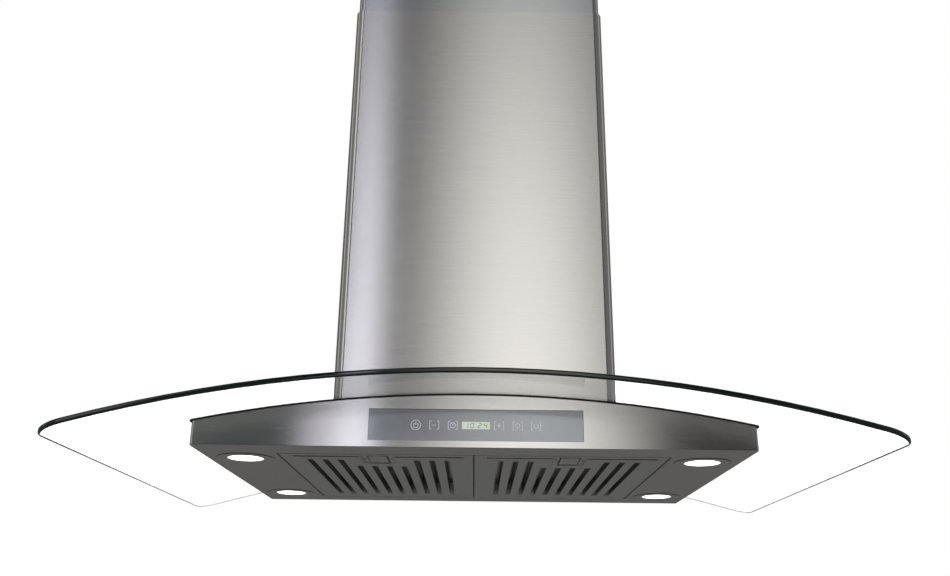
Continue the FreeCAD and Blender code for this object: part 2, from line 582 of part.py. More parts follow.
def chimney_halves(size_x, size_y, radius, z0, z1, screw_heights, vent_heights):
    """Front and rear U-shaped halves; the rear one carries the inner joining straps."""
    shell = tube(size_x, size_y, radius, SHEET, z0, z1)
    inner_x = size_x / 2 - SHEET
    tools = []
    for z in screw_heights:
        for y in (-STRAP_W / 4, STRAP_W / 4):
            tools.append(cyl(SCREW_R + 0.1, (-size_x, y, z), ALONG_X, 2 * size_x))
    for z in vent_heights:
        for y in (-VENT_Y, VENT_Y):
            tools.append(box(-size_x, size_x, y - VENT_HALF, y + VENT_HALF, z, z + VENT_H))
    shell = cut(shell, tools)
    front = shell.common(box(-size_x, size_x, -size_y, -SPLIT, z0 - 1, z1 + 1))
    rear = shell.common(box(-size_x, size_x, SPLIT, size_y, z0 - 1, z1 + 1))
    strap = box(inner_x - STRAP_T, inner_x, -STRAP_W / 2, STRAP_W / 2, z0 + STRAP_UP,
                z1 - STRAP_DOWN)
    strap = cut(strap, tools)
    return front, fuse([rear, strap, mirrored(strap, True)])


def lower_chimney():
    front, rear = chimney_halves(LOWER_X, LOWER_Y, LOWER_CORNER, 40.0, LOWER_TOP,
                                 LOWER_SCREWS, [])
    above_glass = arch(GLASS_T + 0.3)
    return front.cut(above_glass), rear.cut(above_glass)


def upper_chimney():
    vent_heights = [VENT_LOW + VENT_PITCH * i for i in range(VENTS)]
    front, rear = chimney_halves(UPPER_X, UPPER_Y, UPPER_CORNER, UPPER_BOTTOM, CEILING,
                                 UPPER_SCREWS, vent_heights)
    z = CEILING - TAB_SCREW_DROP
    top_holes = [cyl(SCREW_R + 0.1, (-UPPER_X, 0, z), ALONG_X, 2 * UPPER_X),
                 cyl(SCREW_R + 0.1, (0, -UPPER_Y, z), ALONG_Y, 2 * UPPER_Y)]
    notch = box(-UPPER_X, UPPER_X, -2.2, 2.2, z - 2.2, z + 2.2)
    return cut(front, top_holes + [notch]), cut(rear, top_holes + [notch])


def low_head_screw(x, y, z, axis, depth):
    """Screw whose head's seat is at (x, y, z); its shank reaches back along the axis by depth."""
    back = V(*axis) * depth
    shank = cyl(SCREW_R, V(x, y, z) - back, axis, depth)
    return fuse([shank, cyl(SCREW_HEAD_R, (x, y, z), axis, SCREW_HEAD_H)])


def side_screws(half_x, heights, depth):
    """Low-head screws through both side seams."""
    screws = []
    for z in heights:
        for y in (-STRAP_W / 4, STRAP_W / 4):
            one = low_head_screw(half_x, y, z, ALONG_X, depth)
            screws += [one, mirrored(one, True)]
    return screws


def lower_chimney_screws():
    return Part.makeCompound(side_screws(LOWER_X / 2, LOWER_SCREWS, SHEET + STRAP_T))


def upper_chimney_screws():
    screws = side_screws(UPPER_X / 2, UPPER_SCREWS, SHEET + STRAP_T)
    z = CEILING - TAB_SCREW_DROP
    depth = (UPPER_Y - PLATE_Y) / 2 + TAB_T
    end = low_head_screw(0, UPPER_Y / 2, z, ALONG_Y, depth)
    side = low_head_screw(UPPER_X / 2, 0, z, ALONG_X, depth)
    screws += [end, mirrored(end, False), side, mirrored(side, True)]
    return Part.makeCompound(screws)


# ---------------------------------------------------------------- blower

def blower_housing():
    """Galvanised box on the deck; its floor is a flange round the air opening."""
    outer = prism(BOX_X, BOX_Y, 3.0, 0, BOX_TOP)
    inner = prism(BOX_X - 2 * BOX_T, BOX_Y - 2 * BOX_T, 2.0, 0, BOX_TOP - BOX_T)
    floor = prism(BOX_X - 2 * BOX_T, BOX_Y - 2 * BOX_T, 2.0, 0, ABOVE)
    floor = floor.common(arch(-GASKET_T + BOX_T))
    floor = floor.cut(prism(DECK_X, DECK_Y, DECK_CORNER, -1, ABOVE + 1))
    shell = fuse([outer.cut(inner), floor]).cut(arch(-GASKET_T))
    return cut(shell, [cyl(COLLAR_R - COLLAR_T, (0, 0, BOX_TOP - 5), UP, 10),
                       cyl(WIRE_HOLE_R, (*WIRE_HOLE, BOX_TOP - 5), UP, 10)])


def spiral_points(extra):
    """The scroll from its outer wall at +y round to the tongue, radius grown by extra."""
    points = []
    steps = 12
    for i in range(steps + 1):
        share = i / steps
        angle = -math.radians(SCROLL_SWEEP * share)
        radius = SCROLL_R_END - (SCROLL_R_END - SCROLL_R_START) * share + extra
        points.append(V(0, FAN_Y + radius * math.cos(angle), FAN_Z + radius * math.sin(angle)))
    return points


def spiral_curve(extra):
    curve = Part.BSplineCurve()
    curve.interpolate(spiral_points(extra))
    return curve.toShape()


def scroll_top():
    return BOX_TOP - BOX_T


def scroll_wrap():
    """The spiral sheet and its two upright outlet walls."""
    inner, outer = spiral_curve(0.0), spiral_curve(SCROLL_T)
    first_in, last_in = spiral_points(0.0)[0], spiral_points(0.0)[-1]
    first_out, last_out = spiral_points(SCROLL_T)[0], spiral_points(SCROLL_T)[-1]
    joins = [Part.LineSegment(first_in, first_out).toShape(),
             Part.LineSegment(last_in, last_out).toShape()]
    ring = Part.Face(Part.Wire(Part.__sortEdges__([inner, outer] + joins)))
    spiral = ring.extrude(V(2 * SCROLL_HALF, 0, 0))
    spiral = moved(spiral, -SCROLL_HALF)
    outer_wall = box(-SCROLL_HALF, SCROLL_HALF, first_in.y, first_out.y, FAN_Z, scroll_top())
    tongue = box(-SCROLL_HALF, SCROLL_HALF, last_in.y - SCROLL_T / 2, last_in.y + SCROLL_T / 2,
                 last_in.z - 0.2, scroll_top())
    return fuse([spiral, outer_wall, tongue])


def scroll_side(sign):
    """Side plate with a round inlet and its rolled inlet ring."""
    outline = [Part.LineSegment(V(0, spiral_points(SCROLL_T)[0].y, scroll_top()),
                                spiral_points(SCROLL_T)[0]).toShape(),
               spiral_curve(SCROLL_T),
               Part.LineSegment(spiral_points(SCROLL_T)[-1],
                                V(0, spiral_points(SCROLL_T)[-1].y, scroll_top())).toShape(),
               Part.LineSegment(V(0, spiral_points(SCROLL_T)[-1].y, scroll_top()),
                                V(0, spiral_points(SCROLL_T)[0].y, scroll_top())).toShape()]
    face = Part.Face(Part.Wire(Part.__sortEdges__(outline)))
    plate = moved(face.extrude(V(SCROLL_T, 0, 0)), SCROLL_HALF)
    inlet_r = WHEEL_INNER
    plate = plate.cut(cyl(inlet_r, (SCROLL_HALF - 2, FAN_Y, FAN_Z), ALONG_X, 5))
    ring = Part.makeTorus(inlet_r + 3.0, 3.0, V(SCROLL_HALF + SCROLL_T, FAN_Y, FAN_Z), V(1, 0, 0))
    ring = ring.common(box(SCROLL_HALF + SCROLL_T / 2, SCROLL_HALF + 8, -200, 200, 0, 400))
    side = fuse([plate, ring])
    return side if sign > 0 else mirrored(side, True)


def impeller_wheel():
    """Double-inlet drum: centre disc and hub, curved blades and two end rings."""
    disc = cyl(WHEEL_R, (-DISC_T / 2, 0, 0), ALONG_X, DISC_T)
    hub = cyl(HUB_R, (HUB_START, 0, 0), ALONG_X, HUB_L)
    rings = []
    for x in (-WHEEL_HALF, WHEEL_HALF - RIM_L):
        rim = cyl(WHEEL_R, (x, 0, 0), ALONG_X, RIM_L)
        rings.append(rim.cut(cyl(WHEEL_R - RIM_T, (x - 1, 0, 0), ALONG_X, RIM_L + 2)))
    chord = WHEEL_R - WHEEL_INNER
    start = V(-WHEEL_HALF + 1, WHEEL_INNER, 0)
    end = V(-WHEEL_HALF + 1, WHEEL_R - 0.4, chord * 0.45)
    middle = V(-WHEEL_HALF + 1, WHEEL_INNER + chord * 0.62, chord * 0.02)
    thick = V(0, 0, BLADE_T)
    edges = [Part.Arc(start, middle, end).toShape(),
             Part.LineSegment(end, end + thick).toShape(),
             Part.Arc(end + thick, middle + thick, start + thick).toShape(),
             Part.LineSegment(start + thick, start).toShape()]
    blade = Part.Face(Part.Wire(edges)).extrude(V(2 * WHEEL_HALF - 2, 0, 0))
    blades = []
    for i in range(BLADES):
        one = blade.copy()
        one.rotate(V(0, 0, 0), V(1, 0, 0), 360.0 * i / BLADES)
        blades.append(one)
    wheel = fuse([disc, hub] + rings + blades)
    wheel = wheel.cut(cyl(SHAFT_R, (-50, 0, 0), ALONG_X, 100))
    return moved(wheel, 0, FAN_Y, FAN_Z)


def motor_shaft():
    return cyl(SHAFT_R, (-12.0, FAN_Y, FAN_Z), ALONG_X, MOTOR_FRONT + 12.0 + 50.0)


def motor_body():
    """Can motor that reaches into the right half of the wheel."""
    can = cyl(MOTOR_R, (MOTOR_FRONT, FAN_Y, FAN_Z), ALONG_X, MOTOR_LENGTH)
    ends = [e for e in can.Edges if e.Curve.TypeId == "Part::GeomCircle"]
    can = can.makeFillet(4.0, ends)
    boss = cyl(11.0, (MOTOR_FRONT - 4, FAN_Y, FAN_Z), ALONG_X, 6)
    bore = cyl(SHAFT_R + RUNNING, (MOTOR_FRONT - 10, FAN_Y, FAN_Z), ALONG_X, 10 + 51.0)
    return fuse([can, boss]).cut(bore)


def motor_bracket():
    """Band round the motor with three arms to the right-hand scroll side."""
    x0 = SCROLL_HALF + SCROLL_T + 12.0
    band = cyl(MOTOR_R + BAND_T, (x0, FAN_Y, FAN_Z), ALONG_X, 12.0)
    band = band.cut(cyl(MOTOR_R, (x0 - 1, FAN_Y, FAN_Z), ALONG_X, 14.0))
    reach = WHEEL_INNER + 12.0
    plate = SCROLL_HALF + SCROLL_T
    pieces = [band]
    for angle in ARMS:
        arm = box(x0, x0 + ARM_T, -ARM_HALF, ARM_HALF, MOTOR_R + BAND_T / 2, reach)
        leg = box(plate, x0 + ARM_T, -ARM_HALF, ARM_HALF, reach - ARM_T, reach)
        pad = box(plate, plate + 1.5, -ARM_HALF, ARM_HALF, reach - ARM_T, reach + 9)
        for piece in (arm, leg, pad):
            turned = moved(piece, 0, FAN_Y, FAN_Z)
            turned.rotate(V(0, FAN_Y, FAN_Z), V(1, 0, 0), angle)
            pieces.append(turned)
    return fuse(pieces)


def run_capacitor():
    """Round capacitor on a foot against the front wall of the blower housing."""
    wall = -BOX_Y / 2 + BOX_T
    y, z = wall + CAPACITOR_R + 7.0, CAPACITOR_Z
    can = cyl(CAPACITOR_R, (-30.0, y, z), ALONG_X, CAPACITOR_L)
    cap = cyl(CAPACITOR_R - 4.0, (CAPACITOR_L - 30.0, y, z), ALONG_X, 8.0)
    base = box(-20, 20, wall, wall + 12.0, z - 8, z + 8)
    return fuse([can, cap, base])


def outlet_collar():
    """Duct spigot with its screwed flange and the ledge that the flaps close on."""
    inner_r = COLLAR_R - COLLAR_T
    wall = cyl(COLLAR_R, (0, 0, BOX_TOP), UP, COLLAR_H)
    wall = wall.cut(cyl(inner_r, (0, 0, BOX_TOP - 1), UP, COLLAR_H + 2))
    flange = cyl(COLLAR_R + COLLAR_FLANGE, (0, 0, BOX_TOP), UP, 1.5)
    flange = flange.cut(cyl(inner_r, (0, 0, BOX_TOP - 1), UP, 4))
    ledge_top = FLAP_Z - FLAP_T / 2 - 0.4
    ledge = cyl(COLLAR_R - 0.5, (0, 0, ledge_top - COLLAR_T), UP, COLLAR_T)
    ledge = ledge.cut(cyl(inner_r - LEDGE_REACH, (0, 0, ledge_top - 3), UP, 6))
    ledge = ledge.cut(box(-COLLAR_R, COLLAR_R, -5, 5, ledge_top - 3, ledge_top + 3))
    collar = fuse([wall, flange, ledge])
    holes = [cyl(ROD_R, (-COLLAR_R - 5, 0, FLAP_Z), ALONG_X, 2 * COLLAR_R + 10)]
    for i in range(COLLAR_SCREWS):
        angle = 2 * math.pi * (i + 0.5) / COLLAR_SCREWS
        x, y = COLLAR_SCREW_CIRCLE * math.cos(angle), COLLAR_SCREW_CIRCLE * math.sin(angle)
        holes.append(cyl(SCREW_R + HOLE_PLAY, (x, y, BOX_TOP - 1), UP, 4))
    return cut(collar, holes)


def damper_rod():
    return cyl(ROD_R, (-COLLAR_R, 0, FLAP_Z), ALONG_X, 2 * COLLAR_R)


def damper_flap(sign):
    """Half-round flap with two curled knuckles round the rod; sign is +1 at the back."""
    low = FLAP_Z - FLAP_T / 2
    plate = cyl(FLAP_R, (0, 0, low), UP, FLAP_T)
    plate = plate.common(box(-FLAP_R, FLAP_R, KNUCKLE_R + 1, FLAP_R, low, low + FLAP_T))
    pieces = [plate]
    for x in (-KNUCKLE_REACH, KNUCKLE_GAP / 2):
        pieces.append(cyl(KNUCKLE_R, (x, 0, FLAP_Z), ALONG_X, KNUCKLE))
        pieces.append(box(x, x + KNUCKLE, 0, 5.0, low, low + FLAP_T))
    flap = fuse(pieces).cut(cyl(ROD_R + RUNNING, (-80, 0, FLAP_Z), ALONG_X, 160))
    if sign < 0:
        flap.rotate(V(0, 0, 0), V(0, 0, 1), 180)
    return flap


# ---------------------------------------------------------------- electrics

def junction_box():
    """Supply connection box in a corner beside the collar, with a folded lid."""
    (x0, x1), (y0, y1) = JUNCTION_X, JUNCTION_Y
    t = JUNCTION_T
    outer = box(x0, x1, y0, y1, BOX_TOP, LID)
    inner = box(x0 + t, x1 - t, y0 + t, y1 - t, BOX_TOP + t, LID - t)
    holes = [cyl(WIRE_HOLE_R, (*WIRE_HOLE, BOX_TOP - 1), UP, 4),
             cyl(GLAND_THREAD_R + 0.1, (*GLAND, LID - 3), UP, 6)]
    seam = tube(x1 - x0 + 2, y1 - y0 + 2, 0, 1.2, LID - 9, LID - 8.4)
    return cut(outer, [inner, moved(seam, (x0 + x1) / 2, (y0 + y1) / 2)] + holes)


def cable_gland():
    """Supply cable gland in the lid of the junction box, under the ceiling plate's opening."""
    thread, flange, cap = 6.0, 6.0, 9.0
    body = fuse([cyl(GLAND_THREAD_R, (*GLAND, LID - thread), UP, thread + 2.0),
                 cyl(GLAND_FLANGE_R, (*GLAND, LID), UP, flange),
                 cyl(GLAND_FLANGE_R - 1.5, (*GLAND, LID + flange), UP, cap)])
    rim = [e for e in body.Edges if abs(e.BoundBox.ZMin - LID - flange - cap) < 1e-6]
    bore = cyl(CABLE_BORE_R, (*GLAND, LID - 8), UP, 30)
    return body.makeFillet(2.0, rim).cut(bore)


def power_box():
    """Power board housing in the compartment behind the plenum."""
    y0, y1 = LINER_Y / 2 + 4.0, BODY_Y / 2 - SHEET - 3.0
    outer = box(-POWER_HALF, POWER_HALF, y0, y1, SHEET, POWER_TOP)
    foot = box(POWER_HALF - 1, POWER_HALF + 16, y0, y1, SHEET, SHEET + 1.5)
    pitch = 2 * POWER_HALF / POWER_RIBS
    ribs = []
    for i in range(POWER_RIBS):
        x = -POWER_HALF + pitch * (i + 0.5)
        ribs.append(box(x - 1, x + 1, y0 + 4, y1 - 4, POWER_TOP - 1, POWER_TOP + 0.5))
    return fuse([outer, foot, mirrored(foot, True)] + ribs)


# ---------------------------------------------------------------- export

def export(name, shape):
    shape = moved(shape, 0, 0, -CEILING)
    if not shape.isValid():
        raise ValueError(name + " is not a valid shape")
    solids = shape.Solids
    shape = solids[0] if len(solids) == 1 else Part.makeCompound(solids)
    shape.exportStep("parts/" + name + ".step")


def build():
    os.makedirs("parts", exist_ok=True)
    lower_front, lower_rear = lower_chimney()
    upper_front, upper_rear = upper_chimney()
    nodes = {
        "ceiling_plate": ceiling_plate(),
        "upper_frame_posts": upper_frame_posts(),
        "upper_frame_rails": upper_frame_rails(),
        "upper_frame_bolts": upper_frame_bolts(),
        "upper_chimney_front": upper_front,
        "upper_chimney_rear": upper_rear,
        "upper_chimney_screws": upper_chimney_screws(),
        "body_shell": body_shell(),
        "glass_gasket": glass_gasket(),
        "glass_canopy": glass_canopy(),
        "saddle_pad": saddle_pad(),
        "mounting_saddle": mounting_saddle(),
        "saddle_bolts": saddle_bolts(),
        "lower_frame_posts": lower_frame_posts(),
        "lower_frame_rails": lower_frame_rails(),
        "frame_lock_bolts": frame_lock_bolts(),
        "lower_chimney_front": lower_front,
        "lower_chimney_rear": lower_rear,
        "lower_chimney_screws": lower_chimney_screws(),
        "plenum_liner": plenum_liner(),
        "filter_divider": filter_divider(),
        "blower_housing": blower_housing(),
        "scroll_wrap": scroll_wrap(),
        "scroll_side_left": scroll_side(-1),
        "scroll_side_right": scroll_side(1),
        "impeller_wheel": impeller_wheel(),
        "motor_shaft": motor_shaft(),
        "motor_body": motor_body(),
        "motor_bracket": motor_bracket(),
        "run_capacitor": run_capacitor(),
        "outlet_collar": outlet_collar(),
        "damper_rod": damper_rod(),
        "damper_flap_rear": damper_flap(1),
        "damper_flap_front": damper_flap(-1),
        "junction_box": junction_box(),
        "cable_gland": cable_gland(),
        "control_glass": moved(control_glass(), PANEL_MIDDLE),
        "control_tray": moved(control_tray(), PANEL_MIDDLE),
        "touch_board": moved(touch_board(), PANEL_MIDDLE),
        "display_module": moved(display_module(), PANEL_MIDDLE),
        "power_box": power_box(),
        "lamp_housings": lamp_housings(),
    }
    for side, x in (("left", -LAMP_X), ("right", LAMP_X)):
        for end, y in (("front", -LAMP_Y), ("rear", LAMP_Y)):
            nodes["lamp_%s_%s_trim" % (end, side)] = lamp_trim(x, y)
            nodes["lamp_%s_%s_lens" % (end, side)] = lamp_lens(x, y)
    for side, x in (("left", -FILTER_CENTRE), ("right", FILTER_CENTRE)):
        nodes["filter_%s_tray" % side] = moved(filter_tray(), x)
        nodes["filter_%s_baffles" % side] = moved(filter_baffles(), x)
        nodes["filter_%s_latch_cup" % side] = moved(latch_cup(), x)
        nodes["filter_%s_latch" % side] = moved(latch(), x)
        nodes["filter_%s_latch_spring" % side] = moved(latch_spring(), x)
    for name, shape in nodes.items():
        export(name, shape)
    print(len(nodes), "nodes")


build()
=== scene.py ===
"""Looks for the island range hood: camera, light, materials and fine pieces round the CAD frame."""
import json
import math

import bmesh
import bpy
from mathutils import Matrix, Vector


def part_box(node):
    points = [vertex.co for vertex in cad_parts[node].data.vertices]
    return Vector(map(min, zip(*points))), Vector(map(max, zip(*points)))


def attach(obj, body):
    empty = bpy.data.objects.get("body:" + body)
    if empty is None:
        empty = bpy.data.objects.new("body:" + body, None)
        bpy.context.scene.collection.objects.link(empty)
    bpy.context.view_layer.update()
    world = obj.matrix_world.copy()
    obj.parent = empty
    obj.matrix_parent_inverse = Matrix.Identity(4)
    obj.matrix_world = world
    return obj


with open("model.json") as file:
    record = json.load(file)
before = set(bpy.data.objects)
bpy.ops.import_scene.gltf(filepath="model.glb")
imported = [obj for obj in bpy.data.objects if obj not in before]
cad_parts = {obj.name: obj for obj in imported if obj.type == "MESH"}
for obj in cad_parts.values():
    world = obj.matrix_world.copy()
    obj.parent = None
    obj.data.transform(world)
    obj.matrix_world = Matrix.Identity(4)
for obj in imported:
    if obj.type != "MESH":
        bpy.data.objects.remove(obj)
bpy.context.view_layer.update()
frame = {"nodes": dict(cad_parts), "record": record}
NODES = frame["nodes"]
MM = 0.001
GLASS_T = 6 * MM

BODY_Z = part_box("body_shell")[0].z    # the underside of the steel body


# ------------------------------------------------------------------ camera and stage

CAMERA_PLACE = Vector((0.0018, -1.2751, BODY_Z - 0.1894))
CAMERA_PITCH, CAMERA_YAW, CAMERA_ROLL = 0.3472, 0.0025, 0.0115
CAMERA_LENS = 35.82
FLOOR_BELOW = 1.65
FLOOR_HALF = 14.0
FLOOR_SEEN = 0.80           # the floor's shade for rays straight from the camera or out of glass
FLOOR_MIRRORED = 0.56       # and for all others, such as the steel's reflections
FLOOR_GLOW = 0.45           # its own light, only for the rays of FLOOR_SEEN


def make_camera():
    data = bpy.data.cameras.new("camera")
    data.lens = CAMERA_LENS
    data.sensor_width = 36.0
    data.clip_start, data.clip_end = 0.01, 100.0
    camera = bpy.data.objects.new("camera", data)
    bpy.context.scene.collection.objects.link(camera)
    turn = Matrix.Rotation(CAMERA_YAW, 4, "Z") @ Matrix.Rotation(math.pi / 2 + CAMERA_PITCH, 4, "X")
    turn = turn @ Matrix.Rotation(CAMERA_ROLL, 4, "Z")
    camera.matrix_world = Matrix.Translation(CAMERA_PLACE) @ turn
    bpy.context.scene.camera = camera


def link(name, mesh):
    piece = bpy.data.objects.new(name, mesh)
    bpy.context.scene.collection.objects.link(piece)
    return piece


# ------------------------------------------------------------------ node helpers

class Tree:
    """Short names for building a node tree."""

    def __init__(self, tree):
        self.tree = tree
        self.nodes = tree.nodes

    def new(self, kind, **settings):
        node = self.nodes.new(kind)
        for key, value in settings.items():
            setattr(node, key, value)
        return node

    def feed(self, socket, value):
        if isinstance(value, bpy.types.NodeSocket):
            self.tree.links.new(value, socket)
        elif value is not None:
            socket.default_value = value

    def math(self, operation, a, b=None, c=None, clamp=False):
        node = self.new("ShaderNodeMath", operation=operation, use_clamp=clamp)
        for socket, value in zip(node.inputs, (a, b, c)):
            self.feed(socket, value)
        return node.outputs[0]

    def vector(self, operation, a, b=None):
        node = self.new("ShaderNodeVectorMath", operation=operation)
        for socket, value in zip(node.inputs, (a, b)):
            self.feed(socket, value)
        out = "Value" if operation in ("DOT_PRODUCT", "LENGTH") else "Vector"
        return node.outputs[out]

    def ramp(self, value, low, high, to_low=0.0, to_high=1.0):
        node = self.new("ShaderNodeMapRange", interpolation_type="SMOOTHSTEP")
        for name, v in (("Value", value), ("From Min", low), ("From Max", high),
                        ("To Min", to_low), ("To Max", to_high)):
            self.feed(node.inputs[name], v)
        return node.outputs[0]

    def mix(self, factor, a, b):
        """Mix of two colours; the node's colour sockets are inputs 6 and 7 and output 2."""
        node = self.new("ShaderNodeMix", data_type="RGBA")
        self.feed(node.inputs[0], factor)
        self.feed(node.inputs[6], a)
        self.feed(node.inputs[7], b)
        return node.outputs[2]

    def noise(self, vector, scale, detail=2.0, roughness=0.5):
        node = self.new("ShaderNodeTexNoise")
        self.feed(node.inputs["Vector"], vector)
        for name, v in (("Scale", scale), ("Detail", detail), ("Roughness", roughness)):
            node.inputs[name].default_value = v
        return node.outputs["Fac"]

    def place(self):
        return self.new("ShaderNodeTexCoord").outputs["Object"]

    def split(self, vector):
        node = self.new("ShaderNodeSeparateXYZ")
        self.feed(node.inputs[0], vector)
        return node.outputs

    def join(self, x, y, z):
        node = self.new("ShaderNodeCombineXYZ")
        for socket, value in zip(node.inputs, (x, y, z)):
            self.feed(socket, value)
        return node.outputs[0]

    def relief(self, height, strength, distance):
        node = self.new("ShaderNodeBump")
        node.inputs["Strength"].default_value = strength
        node.inputs["Distance"].default_value = distance
        self.feed(node.inputs["Height"], height)
        return node.outputs[0]


# ------------------------------------------------------------------ studio light

# Soft boxes round the object: azimuth of the middle (0 is in front, + to the right), half width,
# softness, then the same for elevation, all in degrees, and the colour and the strength.
SOFT_BOXES = [
    ((-7.3, 0.8, 0.4), (8.0, 4.0, 44.0), (0.93, 0.935, 1.04), 2.1),
    ((-9.4, 0.9, 0.5), (8.0, 3.0, 3.0), (0.93, 0.92, 1.03), 2.0),
    ((2.8, 0.4, 9.9), (8.0, 4.0, 44.0), (1.0, 0.99, 0.96), 1.53),
    ((7.5, 2.0, 2.0), (8.0, 3.0, 3.0), (1.0, 0.99, 0.96), 0.25),
    ((-17.0, 4.0, 2.5), (10.0, 6.0, 6.0), (0.70, 1.0, 0.97), 0.07),
    ((14.5, 4.5, 3.0), (10.0, 6.0, 6.0), (1.0, 1.0, 0.97), 0.025),
    ((-30.0, 8.0, 3.0), (14.0, 24.0, 10.0), (1.0, 1.0, 0.96), 0.9),
    ((-72.0, 30.0, 8.0), (12.0, 28.0, 14.0), (1.0, 1.0, 0.93), 0.22),
    ((70.0, 42.0, 12.0), (12.0, 28.0, 14.0), (1.0, 0.97, 0.93), 0.17),
    ((-90.0, 6.0, 3.0), (35.0, 24.0, 10.0), (1.0, 1.0, 1.0), 0.4),
    ((90.0, 6.0, 3.0), (35.0, 24.0, 10.0), (1.0, 1.0, 1.0), 0.4),
    ((-138.0, 18.0, 12.0), (30.0, 34.0, 10.0), (1.0, 1.0, 0.97), 0.14),
    ((138.0, 18.0, 12.0), (30.0, 34.0, 10.0), (1.0, 0.99, 0.97), 0.14),
    ((180.0, 9.0, 8.0), (38.0, 24.0, 10.0), (1.0, 1.0, 1.0), 1.1),
]
FILL = 0.035                # the least that any direction gives
OVERHEAD = 0.25             # what comes from straight above
OVERHEAD_FROM, OVERHEAD_FULL = 45.0, 80.0    # the elevations between which one turns into the other
SEEN_THROUGH_GLASS = 2.3    # makes up for what the glass reflects at a low angle
FEW_BOUNCES = 1.5           # bounces off anything that a white ray has fewer of


def make_world():
    """A dark studio with soft boxes, and plain white where the camera looks past the object."""
    world = bpy.data.worlds.new("studio")
    bpy.context.scene.world = world
    world.use_nodes = True
    world.node_tree.nodes.clear()
    t = Tree(world.node_tree)
    x, y, z = t.split(t.new("ShaderNodeTexCoord").outputs["Generated"])
    azimuth = t.math("DEGREES", t.math("ARCTAN2", x, t.math("MULTIPLY", y, -1.0)))
    rise = t.math("MINIMUM", t.math("MAXIMUM", z, -1.0), 1.0)
    elevation = t.math("DEGREES", t.math("ARCSINE", rise))
    overhead = t.ramp(elevation, OVERHEAD_FROM, OVERHEAD_FULL, FILL, OVERHEAD)
    total = t.mix(overhead, (0, 0, 0, 1), (1, 1, 1, 1))
    for (az, az_half, az_soft), (el, el_half, el_soft), tint, strength in SOFT_BOXES:
        off = t.math("ABSOLUTE", t.math("WRAP", t.math("SUBTRACT", azimuth, az), 180.0, -180.0))
        across = t.ramp(off, az_half + az_soft, az_half)
        up = t.math("ABSOLUTE", t.math("SUBTRACT", elevation, el))
        along = t.ramp(up, el_half + el_soft, el_half)
        amount = t.math("MULTIPLY", t.math("MULTIPLY", across, along), strength)
        total = t.vector("ADD", total, t.vector("MULTIPLY", t.join(amount, amount, amount), tint))
    light = t.new("ShaderNodeBackground")
    t.feed(light.inputs["Color"], total)
    # plain white for rays straight from the camera, and for rays out of glass with one bounce at most
    path = t.new("ShaderNodeLightPath")
    through = t.math("MULTIPLY", path.outputs["Is Transmission Ray"], SEEN_THROUGH_GLASS)
    seen = t.new("ShaderNodeBackground")
    t.feed(seen.inputs["Strength"], t.math("MAXIMUM", through, 1.0))
    bounces = t.math("SUBTRACT", path.outputs["Ray Depth"], path.outputs["Transmission Depth"])
    few = t.math("LESS_THAN", bounces, FEW_BOUNCES)
    looking = t.math("ADD", path.outputs["Is Camera Ray"], path.outputs["Is Transmission Ray"])
    both = t.new("ShaderNodeMixShader")
    t.feed(both.inputs[0], t.math("MULTIPLY", few, looking, clamp=True))
    t.feed(seen.inputs["Color"], (1, 1, 1, 1))
    t.tree.links.new(light.outputs[0], both.inputs[1])
    t.tree.links.new(seen.outputs[0], both.inputs[2])
    out = t.new("ShaderNodeOutputWorld")
    t.tree.links.new(both.outputs[0], out.inputs["Surface"])


def make_floor():
    """A plain pale floor; what the steel mirrors of it is darker, as if the light on it were flagged."""
    mesh = bpy.data.meshes.new("floor")
    low = BODY_Z - FLOOR_BELOW
    corners = [(x, y, low) for x, y in ((-1, -1), (1, -1), (1, 1), (-1, 1))]
    mesh.from_pydata([(x * FLOOR_HALF, y * FLOOR_HALF, z) for x, y, z in corners], [], [(0, 1, 2, 3)])
    floor = link("floor", mesh)
    material, t, shader = new_material("floor")
    path = t.new("ShaderNodeLightPath")
    looking = t.math("ADD", path.outputs["Is Camera Ray"], path.outputs["Is Transmission Ray"], clamp=True)
    speckle = t.ramp(t.noise(t.place(), 3.0, 3.0), 0.2, 0.8, 0.97, 1.0)
    pale = t.ramp(looking, 0.0, 1.0, FLOOR_MIRRORED, FLOOR_SEEN)
    value = t.math("MULTIPLY", pale, speckle)
    t.feed(shader.inputs["Base Color"], t.join(value, value, value))
    t.feed(shader.inputs["Emission Color"], t.join(speckle, speckle, speckle))
    t.feed(shader.inputs["Emission Strength"], t.math("MULTIPLY", looking, FLOOR_GLOW))
    shader.inputs["Roughness"].default_value = 0.9
    mesh.materials.append(material)


# ------------------------------------------------------------------ materials

def new_material(name):
    material = bpy.data.materials.new(name)
    material.use_nodes = True
    t = Tree(material.node_tree)
    return material, t, material.node_tree.nodes["Principled BSDF"]


FINE_SCRATCH, LONG_SCRATCH = (45.0, 1500.0), (18.0, 700.0)    # noise scale along and across
LYING_FACE = 0.7            # a face whose normal's |z| is above this counts as lying flat
BROAD_SWING = 0.04          # how much shade and roughness drift over about a quarter of a metre
GRAIN_ROUGHNESS = 0.06      # how much rougher the scratches are


